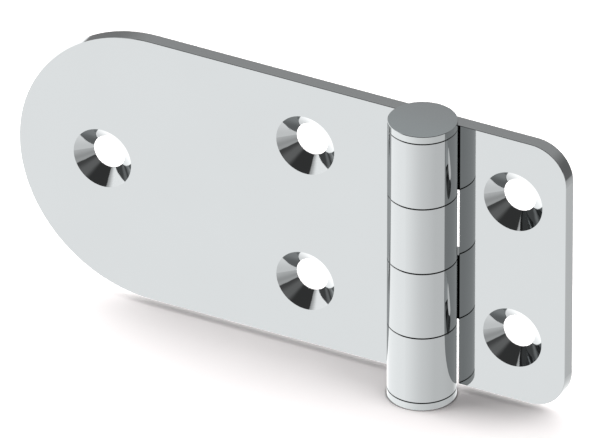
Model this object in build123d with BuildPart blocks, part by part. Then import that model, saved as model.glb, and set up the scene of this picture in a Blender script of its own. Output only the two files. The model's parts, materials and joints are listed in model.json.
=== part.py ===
# Leaf hinge with a long round-ended leaf and a short leaf, both rolled from flat sheet.
# Each leaf is one piece: a plate with two tabs that curl round the pin as its knuckles.
# The leaves lie open and flat. X runs along them, with the short leaf towards +X.
# -Y is the front, where the screws go in, and +Y is the mounting side. Z runs up the pin.
# The origin is on the mounting face, midway between the short leaf's two screw holes.

import os
from math import asin, degrees, sqrt

from build123d import *

os.makedirs("parts", exist_ok=True)

# Leaves
sheet = 2.0
leaf_height = 38.0
long_leaf_reach = 59.2
short_leaf_reach = 19.1
corner_radius = 5.0
edge_break = 0.05

# Knuckles, shared out in turn from the top, the short leaf's first
knuckles_per_leaf = 2
knuckle_gap = 0.11
slot_clearance = 0.22
slot_corner = 0.15
seam_gap = 0.33

# Pin and end cap
pin_diameter = 4.8
running_clearance = 0.05
press_band_length = 5.0
head_thickness = 1.02
cap_thickness = 1.02
end_gap = 0.08
spigot_diameter = 3.2
rivet_flare = 0.3
rivet_angle = 90.0

# Screw holes, for countersunk 4 mm screws
screw_hole = 4.5
countersink = 8.3
countersink_angle = 90.0
hole_spacing = 20.0
short_holes_to_pin = 11.6
long_holes_to_pin = 18.0
end_hole_to_end = 12.0

# Sizes and planes that follow
bore_radius = pin_diameter / 2 + running_clearance
barrel_radius = bore_radius + sheet
knuckle_count = 2 * knuckles_per_leaf
pitch = leaf_height / knuckle_count
slot_edge = sqrt((barrel_radius + slot_clearance) ** 2 - bore_radius**2)
curl_turn = 270 + degrees(asin((bore_radius - seam_gap) / barrel_radius))
past_metal = sheet
pin_x = -short_holes_to_pin
front_plane = Plane(origin=(pin_x, -sheet, 0), x_dir=(1, 0, 0), z_dir=(0, -1, 0))
pin_plane = Plane(origin=(pin_x, -barrel_radius, 0), x_dir=(1, 0, 0), z_dir=(0, -1, 0))


def knuckle_ends(index):
    """Heights of a knuckle's top and bottom faces."""
    top = leaf_height / 2 - index * pitch
    bottom = top - pitch
    if index > 0:
        top -= knuckle_gap / 2
    if index < knuckle_count - 1:
        bottom += knuckle_gap / 2
    return top, bottom


def punch_slots(side, first):
    """In the blank's sketch, cut the slots that clear the other leaf's knuckles."""
    for index in range(first, knuckle_count, 2):
        top, bottom = knuckle_ends(index)
        top += past_metal if index == 0 else knuckle_gap
        bottom -= past_metal if index == knuckle_count - 1 else knuckle_gap
        width = slot_edge + past_metal
        with Locations((side * (slot_edge - width / 2), (top + bottom) / 2)):
            RectangleRounded(width, top - bottom, slot_corner, mode=Mode.SUBTRACT)


def roll_knuckles(side, first):
    """Tabs rolled on from the plate's back, round the pin and up to the seam."""
    for index in range(first, knuckle_count, 2):
        top, bottom = knuckle_ends(index)
        with BuildSketch(Plane(origin=(pin_x, -barrel_radius, bottom))) as curl:
            with BuildLine():
                outside = CenterArc((0, 0), barrel_radius, 90, side * curl_turn)
                inside = CenterArc((0, 0), bore_radius, 90, side * curl_turn)
                Line(outside @ 0, inside @ 0)
                Line(outside @ 1, inside @ 1)
            make_face()
        extrude(curl.sketch, amount=top - bottom)


def drill_screw_holes(places):
    """Countersunk holes from the front, each at its distance from the pin and mid height."""
    with Locations(front_plane):
        with Locations(*places):
            CounterSinkHole(screw_hole / 2, countersink / 2, None, countersink_angle)


def break_edges(leaf):
    """A polisher's break on the sheet's sharp outline, front and back, and round the barrel."""
    edges = ShapeList()
    for face in leaf.faces().filter_by(Axis.Y).sort_by(SortBy.AREA)[-2:]:
        edges += face.outer_wire().edges()
    sharp = [edge for edge in edges if abs(edge.center().X - pin_x) > edge_break]
    chamfer(sharp, edge_break)


def pair_at(distance):
    """The places of two screw holes, one above the other."""
    return [(distance, hole_spacing / 2), (distance, -hole_spacing / 2)]


# Short leaf, with rounded outer corners and the first and third knuckles
with BuildPart() as short_leaf:
    with BuildSketch(front_plane) as short_blank:
        Rectangle(short_leaf_reach, leaf_height, align=(Align.MIN, Align.CENTER))
        fillet(short_blank.vertices().group_by(Axis.X)[-1], corner_radius)
        punch_slots(1, 1)
    extrude(amount=-sheet)
    roll_knuckles(1, 0)
    break_edges(short_leaf)
    drill_screw_holes(pair_at(short_holes_to_pin))
short_leaf.part.label = "short_leaf"
export_step(short_leaf.part, "parts/short_leaf.step")

# Long leaf, with a half-round end and the second and fourth knuckles
with BuildPart() as long_leaf:
    with BuildSketch(front_plane) as long_blank:
        with Locations((leaf_height / 2 - long_leaf_reach, 0)):
            Circle(leaf_height / 2)
            straight = long_leaf_reach - leaf_height / 2
            Rectangle(straight, leaf_height, align=(Align.MIN, Align.CENTER))
        punch_slots(-1, 0)
    extrude(amount=-sheet)
    roll_knuckles(-1, 1)
    break_edges(long_leaf)
    drill_screw_holes(pair_at(-long_holes_to_pin))
    drill_screw_holes([(end_hole_to_end - long_leaf_reach, 0)])
long_leaf.part.label = "long_leaf"
export_step(long_leaf.part, "parts/long_leaf.step")

# Heights and radii down the pin
head_under = leaf_height / 2 + end_gap
head_top = head_under + head_thickness
band_end = leaf_height / 2 - press_band_length
shoulder = -leaf_height / 2 - end_gap
cap_bottom = shoulder - cap_thickness
pin_radius = pin_diameter / 2
spigot_radius = spigot_diameter / 2

# Hinge pin, turned: a flat head, a band that grips the short leaf's top knuckle, the
# running shank, and a spigot whose end is peened out into the cap's countersink
with BuildPart() as hinge_pin:
    with BuildSketch(pin_plane) as turned:
        with BuildLine():
            Polyline(
                (0, head_top),
                (barrel_radius - edge_break, head_top),
                (barrel_radius, head_top - edge_break),
                (barrel_radius, head_under + edge_break),
                (barrel_radius - edge_break, head_under),
                (bore_radius, head_under),
                (bore_radius, band_end),
                (pin_radius, band_end - running_clearance),
                (pin_radius, shoulder),
                (spigot_radius, shoulder),
                (spigot_radius, cap_bottom + rivet_flare),
                (spigot_radius + rivet_flare, cap_bottom),
                (0, cap_bottom),
                close=True,
            )
        make_face()
    revolve(axis=Axis((pin_x, -barrel_radius, 0), (0, 0, 1)))
hinge_pin.part.label = "hinge_pin"
export_step(hinge_pin.part, "parts/hinge_pin.step")

# End cap, a disc as wide as the barrel, held up to the pin's shoulder by the peened spigot
with BuildPart() as end_cap:
    with Locations((pin_x, -barrel_radius, cap_bottom)):
        Cylinder(barrel_radius, cap_thickness, align=(Align.CENTER, Align.CENTER, Align.MIN))
    chamfer(end_cap.edges().filter_by(GeomType.CIRCLE), edge_break)
    with Locations(Plane(origin=(pin_x, -barrel_radius, cap_bottom), z_dir=(0, 0, -1))):
        CounterSinkHole(spigot_radius, spigot_radius + rivet_flare, None, rivet_angle)
end_cap.part.label = "end_cap"
export_step(end_cap.part, "parts/end_cap.step")
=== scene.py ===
import json
from math import cos, pi, radians, sin

import bpy
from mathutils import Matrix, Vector


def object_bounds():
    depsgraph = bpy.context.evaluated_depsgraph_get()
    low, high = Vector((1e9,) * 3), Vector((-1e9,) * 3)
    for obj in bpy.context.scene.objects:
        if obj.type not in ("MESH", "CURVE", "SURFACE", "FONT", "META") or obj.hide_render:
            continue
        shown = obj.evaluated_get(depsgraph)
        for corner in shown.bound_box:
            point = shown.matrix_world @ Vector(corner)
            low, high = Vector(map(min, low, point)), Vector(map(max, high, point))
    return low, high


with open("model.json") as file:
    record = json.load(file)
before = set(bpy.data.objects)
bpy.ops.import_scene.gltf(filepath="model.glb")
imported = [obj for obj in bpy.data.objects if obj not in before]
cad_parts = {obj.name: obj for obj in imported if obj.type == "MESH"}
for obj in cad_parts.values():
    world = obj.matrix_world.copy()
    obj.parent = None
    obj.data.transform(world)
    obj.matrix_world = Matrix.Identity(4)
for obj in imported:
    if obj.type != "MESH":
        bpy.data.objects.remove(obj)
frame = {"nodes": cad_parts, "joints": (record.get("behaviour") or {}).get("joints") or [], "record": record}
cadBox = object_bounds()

scene = bpy.context.scene
nodes = frame["nodes"]
pinMiddle = Vector(frame["joints"][0]["pos_m"])
pinX = pinMiddle.x
barrelRadius = -pinMiddle.y  # the barrel's back is flush with the mounting face
screwHoles = []  # each one's x, and its height over or under the middle
for mount in frame["record"]["mounts"]:
    if mount["kind"] in ("bolt_pattern", "bore"):
        screwHoles.append((mount["pos_m"][0], mount["dims"].get("spacing_y_mm", 0) / 2000))
print("frame loaded:", ", ".join(nodes))


# Shader maths as Python expressions

class Wire:  # one node output, with the operators that the materials use
    def __init__(self, graph, socket):
        self.graph = graph
        self.socket = socket

    def maths(self, operation, *others):
        return self.graph.add("ShaderNodeMath", {"operation": operation}, [self, *others])

    def __add__(self, other):
        return self.maths("ADD", other)

    def __radd__(self, other):
        return self.maths("ADD", other)

    def __sub__(self, other):
        return self.maths("SUBTRACT", other)

    def __rsub__(self, other):
        return self.graph.add("ShaderNodeMath", {"operation": "SUBTRACT"}, [other, self])

    def __mul__(self, other):
        return self.maths("MULTIPLY", other)

    def __rmul__(self, other):
        return self.maths("MULTIPLY", other)

    def __abs__(self):
        return self.maths("ABSOLUTE")

    def step(self, low, high):  # 0 below low, 1 above high, smooth between
        settings = {"interpolation_type": "SMOOTHSTEP"}
        inputs = {"Value": self, "From Min": low, "From Max": high}
        return self.graph.add("ShaderNodeMapRange", settings, inputs)

    def between(self, rise, fall):  # 1 between two soft edges, each given by its start and end
        return self.step(*rise) * (1 - self.step(*fall))


class Graph:  # a node tree that is built by calls
    def __init__(self, tree):
        self.tree = tree
        tree.nodes.clear()

    def add(self, kind, settings=None, inputs=None, output=0):
        node = self.tree.nodes.new(kind)
        for name, value in (settings or {}).items():
            if name == "stops":
                self.setStops(node.color_ramp.elements, value)
            else:
                setattr(node, name, value)
        pairs = enumerate(inputs) if isinstance(inputs, list) else (inputs or {}).items()
        for key, value in pairs:
            if isinstance(value, Wire):
                self.tree.links.new(value.socket, node.inputs[key])
            else:
                node.inputs[key].default_value = value
        return Wire(self, node.outputs[output]) if node.outputs else node

    def parts(self, vector):  # a vector's x, y and z
        return [self.add("ShaderNodeSeparateXYZ", {}, [vector], axis) for axis in "XYZ"]

    def mix(self, factor, first, second):  # of two colours
        inputs = {"Factor": factor, 6: first, 7: second}  # 6 and 7 are its colour sockets
        return self.add("ShaderNodeMix", {"data_type": "RGBA"}, inputs, 2)

    def setStops(self, elements, stops):
        while len(elements) < len(stops):
            elements.new(1)
        for element, (place, grey) in zip(elements, stops):
            element.position = place
            element.color = (grey, grey, grey, 1)


# Camera

cameraView = {
    "azimuth": 27.89,  # degrees round from the front
    "elevation": 30.93,
    "lens": 1250.0,  # mm, long enough for the near parallel lines of the photo
    "pixelsPerMm": 7.921,
    "pinPixel": (422.19, 256.44),  # where the middle of the pin shows
    "photoSize": (600, 438),
    "sensor": 36.0,
    "clip": (0.1, 10.0),
}


def makeCamera(view):
    azimuth = radians(view["azimuth"])
    elevation = radians(view["elevation"])
    ahead = Vector((-sin(azimuth) * cos(elevation), cos(azimuth) * cos(elevation), -sin(elevation)))
    right = Vector((cos(azimuth), sin(azimuth), 0))
    up = right.cross(ahead)
    pixelsPerMetre = view["pixelsPerMm"] * 1000
    offRight = (view["photoSize"][0] / 2 - view["pinPixel"][0]) / pixelsPerMetre
    offUp = (view["pinPixel"][1] - view["photoSize"][1] / 2) / pixelsPerMetre
    distance = view["lens"] / view["sensor"] * view["photoSize"][0] / pixelsPerMetre
    bpy.ops.object.camera_add(location=pinMiddle + right * offRight + up * offUp - ahead * distance)
    camera = bpy.context.object
    camera.rotation_mode = "QUATERNION"
    camera.rotation_quaternion = ahead.to_track_quat("-Z", "Y")
    camera.data.sensor_width = view["sensor"]
    camera.data.lens = view["lens"]
    camera.data.clip_start, camera.data.clip_end = view["clip"]
    scene.camera = camera
    print("camera at", round(distance, 3), "m")


makeCamera(cameraView)


# Studio: a white floor, with soft light and a surround that the polish mirrors

studio = {
    "floorSize": 3.0,
    "floorColor": 0.8,
    "floorTint": (1.0, 0.965, 0.965),
    "floorSeen": 1.36,  # as the camera sees it, so that it clips to white away from the shadow
    "contactReach": 0.0015,  # metres from the foot where the shadow deepens
    "contactDepth": 0.32,
    "seamReach": 0.00035,  # and where it turns into a hairline
    "seamDepth": 1.6,
    "shadeSamples": 8,
}


def makeFloor(values):
    bpy.ops.object.select_all(action="DESELECT")
    bpy.ops.mesh.primitive_plane_add(size=values["floorSize"], location=(0, 0, cadBox[0].z))
    floor = bpy.context.object
    floor.name = "studioFloor"
    floor.visible_glossy = False  # the polish mirrors the surround's own floor
    material = bpy.data.materials.new("studioFloor")
    material.use_nodes = True
    g = Graph(material.node_tree)
    fromCamera = g.add("ShaderNodeLightPath", output="Is Camera Ray")
    shade = fromCamera * (values["floorSeen"] - values["floorColor"]) + values["floorColor"]
    # Painted shade: ambient occlusion darkens the floor's colour near the foot, deepest in a hairline at the
    # contact
    for part in ("contact", "seam"):
        reach = {"Distance": values[part + "Reach"]}
        openness = g.add("ShaderNodeAmbientOcclusion", {"samples": values["shadeSamples"]}, reach, "AO")
        shade = shade * (1 - (1 - openness) * values[part + "Depth"])
    tint = g.add("ShaderNodeCombineColor", {}, [shade * part for part in values["floorTint"]])
    matt = g.add("ShaderNodeBsdfDiffuse", {}, {"Color": tint})
    under = g.add("ShaderNodeNewGeometry", output="Backfacing")
    clear = g.add("ShaderNodeBsdfTransparent")
    shown = g.add("ShaderNodeMixShader", {}, [under, matt, clear])
    g.add("ShaderNodeOutputMaterial", {}, {"Surface": shown})
    floor.data.materials.append(material)


# Brightness goes by turn, in degrees from +X, and by height over the horizon, in degrees

def ringOf(g, turn, values):  # brightness by turn, straight from one value to the next
    top = max(grey for angle, grey in values)
    stops = [((angle + 180) / 360, grey / top) for angle, grey in values]
    return g.add("ShaderNodeValToRGB", {"stops": stops}, [turn * (1 / 360) + 0.5]) * top


mirroredFloor = {
    "ring": [(-180, 1.12), (-150, 1.07), (-121, 1.04), (-117, 1.0), (-62, 0.82), (-20, 0.70), (10, 0.69),
             (62, 0.62), (100, 1.1), (120, 1.3), (145, 1.3), (162, 1.14), (180, 1.12)],
    "underfoot": 0.88,
    "underfootEnds": (-80, -38),
    "rightEnds": (60, 115),  # to either side of +X
    "rightFade": 0.48,
    "rightFades": (-38, -10),
    "horizonGlow": 0.04,
    "horizonGlows": (-8, -2),
    "horizon": 3.5,
    "horizonBlur": 1.5,
    "horizonDrop": [(-180, 0), (30, 0), (45, 21.5), (62, 21.5), (95, 10.5), (150, 10.5), (165, 0), (180, 0)],
}


def floorInMirror(g, turn, height, values):
    ring = ringOf(g, turn, values["ring"])
    seen = values["underfoot"] + height.step(*values["underfootEnds"]) * (ring - values["underfoot"])
    rightSide = 1 - abs(turn).step(*values["rightEnds"])
    seen = seen * (1 - height.step(*values["rightFades"]) * rightSide * values["rightFade"])
    return seen + height.step(*values["horizonGlows"]) * rightSide * values["horizonGlow"]


mirroredRoom = {  # each part lies between its soft edges
    "dark": 0.04,
    "leftWall": 0.42,
    "leftStarts": (139, 143),  # to either side of +X
    "leftFurther": 0.60,  # added further round
    "leftRises": (143, 159),
    "leftTop": (50, 70),
    "right": 0.03,
    "rightTurn": ((-78, -58), (40, 60)),
    "rightTop": (34, 47),
    "rightHigher": 0.075,  # added further up
    "rightRises": (8, 26),
    "back": 0.18,
    "backTurn": ((28, 72), (140, 150)),
    "backHigher": 0.11,
    "backRises": (12, 30),
    "panel": 0.16,  # a dim panel in front, with a brighter stripe
    "panelTurn": ((-145, -136), (-100, -90)),
    "panelHeight": ((10, 17), (29, 40)),
    "stripe": 0.32,
    "stripeTurn": ((-136, -129), (-126, -116)),
    "secondBounce": 0.45,  # how much is left when steel mirrors steel
    "thrown": 0.1,  # how much the steel throws on the floor
}


def roomInMirror(turn, height, values):
    aside = abs(turn)
    left = aside.step(*values["leftStarts"]) * values["leftWall"]
    left = left + aside.step(*values["leftRises"]) * values["leftFurther"]
    left = left * (1 - height.step(*values["leftTop"]))
    right = values["right"] + height.step(*values["rightRises"]) * values["rightHigher"]
    right = right * turn.between(*values["rightTurn"]) * (1 - height.step(*values["rightTop"]))
    back = values["back"] + height.step(*values["backRises"]) * values["backHigher"]
    back = back * turn.between(*values["backTurn"])
    panel = values["panel"] + turn.between(*values["stripeTurn"]) * values["stripe"]
    panel = panel * turn.between(*values["panelTurn"]) * height.between(*values["panelHeight"])
    return values["dark"] + left + right + back + panel


softLight = {  # a large one at the left, a smaller one at the right and a faint one behind
    "left": 3.6,
    "leftRises": (65, 180),
    "leftFalls": (-150, -125),
    "leftLess": 2.3,  # how much weaker it is overhead
    "overhead": (35, 60),
    "right": 0.65,
    "rightTurn": ((-70, 0), (50, 65)),
    "rightHigher": 0.9,  # added above the horizon
    "aboveHorizon": (8, 20),
    "back": 0.7,
    "backTurn": ((40, 80), (110, 150)),
}


def softLightFrom(turn, height, values):
    left = turn.step(*values["leftRises"]) + 1 - turn.step(*values["leftFalls"])
    left = left * (values["left"] - height.step(*values["overhead"]) * values["leftLess"])
    higher = height.step(*values["aboveHorizon"])
    right = turn.between(*values["rightTurn"]) * (values["right"] + higher * values["rightHigher"])
    back = turn.between(*values["backTurn"]) * higher * values["back"]
    return left + right + back


def makeSurround(light, floor, room):
    world = bpy.data.worlds.new("studio")
    scene.world = world
    world.use_nodes = True
    g = Graph(world.node_tree)
    x, y, z = g.parts(g.add("ShaderNodeTexCoord", output="Generated"))
    height = z.maths("ARCSINE") * (180 / pi)
    turn = y.maths("ARCTAN2", x) * (180 / pi)

    below = floorInMirror(g, turn, height, floor)
    above = roomInMirror(turn, height, room)
    overLevel = height + ringOf(g, turn, floor["horizonDrop"]) - floor["horizon"]
    blur = floor["horizonBlur"]
    seen = below + overLevel.step(-blur, blur) * (above - below)
    # Steel that steel mirrors, and steel's light on the floor, are turned down
    for depth, limit, left in (("Glossy Depth", 1.5, "secondBounce"), ("Diffuse Depth", 0.5, "thrown")):
        deeper = g.add("ShaderNodeLightPath", output=depth).maths("GREATER_THAN", limit)
        seen = seen * (1 - deeper * (1 - room[left]))

    soft = softLightFrom(turn, height, light)
    strength = soft + g.add("ShaderNodeLightPath", output="Is Glossy Ray") * (seen - soft)
    strength = strength + g.add("ShaderNodeLightPath", output="Is Camera Ray") * (1 - strength)
    background = g.add("ShaderNodeBackground", {}, {"Color": (1, 1, 1, 1), "Strength": strength})
    g.add("ShaderNodeOutputWorld", {}, {"Surface": background})


makeFloor(studio)
makeSurround(softLight, mirroredFloor, mirroredRoom)
print("studio made")


# Steel: one polish for the rolled sheet, one for the turned pin and cap. Lengths are in metres.

paintedJointShadeColor = (0.05, 0.05, 0.05, 1)  # painted shade: the joints between the parts, their broken edges and the seam round the peened pin end go near black in the base colour


def startSteel(name, values):
    material = bpy.data.materials.new(name)
    material.use_nodes = True
    g = Graph(material.node_tree)
    place = g.add("ShaderNodeTexCoord", output="Object")
    facing = g.parts(g.add("ShaderNodeTexCoord", output="Normal"))  # in the piece's own axes
    cloud = cloudOver(g, place, values["cloudSize"])
    return material, g, place, facing, cloud


def cloudOver(g, place, size):
    spread = g.add("ShaderNodeVectorMath", {"operation": "SCALE"}, {"Vector": place, "Scale": 1 / size})
    return g.add("ShaderNodeTexNoise", {}, {"Vector": spread, "Scale": 1.0, "Detail": 2.0})


def radiusFrom(across, along):
    return (across * across + along * along).maths("SQRT")


def turningMarks(radius, values):
    return (radius * (2 * pi / values["ringPitch"])).maths("SINE") * values["ringHeight"]


def finishSteel(g, tone, jointShadeMask, roughness, relief):
    bumped = g.add("ShaderNodeBump", {}, {"Strength": 1.0, "Distance": 1.0, "Height": relief})
    shader = g.add("ShaderNodeBsdfPrincipled", {}, {
        # painted shade: where the joint mask is set, the base colour goes to near black
        "Base Color": g.mix(jointShadeMask, tone, paintedJointShadeColor),
        "Metallic": 1.0,
        "Roughness": roughness,
        "Normal": bumped,
    })
    g.add("ShaderNodeOutputMaterial", {}, {"Surface": shader})


sheetSteel = {
    "colors": ((0.688, 0.713, 0.722, 1), (0.702, 0.729, 0.738, 1)),
    "cloudSize": 0.009,  # for the faint change of tone over a leaf
    "polish": 0.024,  # roughness of the buffed faces
    "cloudy": 0.014,
    "grainSize": (0.02, 0.0012, 0.0005),  # buffing lines run along the leaves and round the barrel
    "grainHeight": 0.0000006,
    "cutEdge": 0.03,  # how much rougher the blanked edges are
    "cutFacing": (0.1, 0.3),  # how far an edge's surface may face the front or the back
    "cutStarts": 0.0002,  # past the barrel's side
    "rimRadius": (0.00412, 0.00415),  # of the countersinks
    "backSkin": (-0.0001, 0.0),  # where the countersinks' marks end
    "ringPitch": 0.00016,  # turning marks in the countersinks
    "ringHeight": 0.0000002,
    "jointDepth": (0.00006, 0.00001),  # under the barrel's surface, clear of its facets
    "edgeOver": 0.00001,
    "edgeFacing": (0.2, 0.5),  # how far a knuckle's broken edge faces up or down
    "edgeShade": 0.5,
}


def makeSheetSteel(values):
    material, g, place, facing, cloud = startSteel("polishedSheet", values)
    x, y, z = g.parts(place)

    barrelSide = (barrelRadius, barrelRadius + values["cutStarts"])
    cut = (1 - abs(facing[1]).step(*values["cutFacing"])) * abs(x - pinX).step(*barrelSide)
    roughness = values["polish"] + cloud * values["cloudy"] + cut * values["cutEdge"]

    radii = [radiusFrom(x - holeX, abs(z) - holeZ) for holeX, holeZ in screwHoles]
    nearest = radii[0].maths("MINIMUM", radii[1]).maths("MINIMUM", radii[2])
    inCone = (1 - nearest.step(*values["rimRadius"])) * (1 - y.step(*values["backSkin"]))
    lines = g.add("ShaderNodeVectorMath", {"operation": "DIVIDE"}, [place, values["grainSize"]])
    grain = g.add("ShaderNodeTexNoise", {}, {"Vector": lines, "Scale": 1.0, "Detail": 3.0})
    relief = grain * values["grainHeight"] * (1 - inCone) + turningMarks(nearest, values) * inCone

    # Painted shade: the joints' walls, ends and bores inside the barrel's ring go near black, and the
    # knuckles' broken edges half as much
    radius = radiusFrom(x - pinX, y + barrelRadius)
    shadedInside = 1 - radius.step(*[barrelRadius - depth for depth in values["jointDepth"]])
    onBarrel = 1 - radius.step(barrelRadius, barrelRadius + values["edgeOver"])
    shadedBrokenEdge = onBarrel * abs(facing[2]).step(*values["edgeFacing"]) * values["edgeShade"]
    tone = g.mix(cloud, *values["colors"])
    finishSteel(g, tone, shadedInside.maths("MAXIMUM", shadedBrokenEdge), roughness, relief)
    return material


turnedSteel = {
    "colors": ((0.706, 0.735, 0.740, 1), (0.720, 0.750, 0.757, 1)),
    "discReflectionColors": ((0.775, 0.845, 0.865, 1), (0.722, 0.765, 0.78, 1)),  # painted reflection: a blue-green tint on the flat ends, lighter on the front half than on the back half
    "discFacing": (0.8, 0.95),  # how far they face up or down
    "cloudSize": 0.004,
    "polish": 0.026,
    "cloudy": 0.016,
    "ringPitch": 0.00022,
    "ringHeight": 0.0000005,
    "jointEnds": (0.01913, 0.01914),  # height of the head's and the cap's inner broken edges
    "upperHalf": (-0.001, 0.001),  # soft border at the hinge's middle
    "peenedRadius": 0.0019,  # of the pin's end under the cap, which a hammer spread
    "peenSize": 0.0007,
    "peenHeight": 0.00003,
    "peenRough": 0.10,
    "seamWidth": 0.00005,
}


def makeTurnedSteel(values):
    material, g, place, facing, cloud = startSteel("turnedSteel", values)
    x, y, z = g.parts(place)

    radius = radiusFrom(x - pinX, y + barrelRadius)
    onDisc = abs(facing[2]).step(*values["discFacing"])
    # Painted reflection: the flat ends' tint goes from the back half to the lighter front half
    disc = g.mix(y.step(-2 * barrelRadius, 0), *values["discReflectionColors"])
    tone = g.mix(onDisc, g.mix(cloud, *values["colors"]), disc)

    under = onDisc * (1 - z.step(*values["upperHalf"]))
    rim = values["peenedRadius"]
    width = values["seamWidth"]
    peened = under * (1 - radius.step(rim - 2 * width, rim))
    # Painted shade: the pin's faces between head and cap, which face the joints, and a thin ring round the
    # peened pin end go near black
    seam = under * (1 - abs(radius - rim).step(0, width))
    jointShadeMask = (1 - abs(z).step(*values["jointEnds"])).maths("MAXIMUM", seam)
    roughness = values["polish"] + cloud * values["cloudy"] + peened * values["peenRough"]

    marks = turningMarks(radius, values) * onDisc
    dents = cloudOver(g, place, values["peenSize"]) * values["peenHeight"]
    finishSteel(g, tone, jointShadeMask, roughness, marks + peened * (dents - marks))
    return material


sheetFinish = makeSheetSteel(sheetSteel)
turnedFinish = makeTurnedSteel(turnedSteel)
finishes = {
    "short_leaf": sheetFinish,
    "long_leaf": sheetFinish,
    "hinge_pin": turnedFinish,
    "end_cap": turnedFinish,
}
for name, node in nodes.items():
    node.material_slots[0].material = finishes[name]
print("steel on", len(nodes), "pieces")

scene.view_settings.view_transform = "Standard"
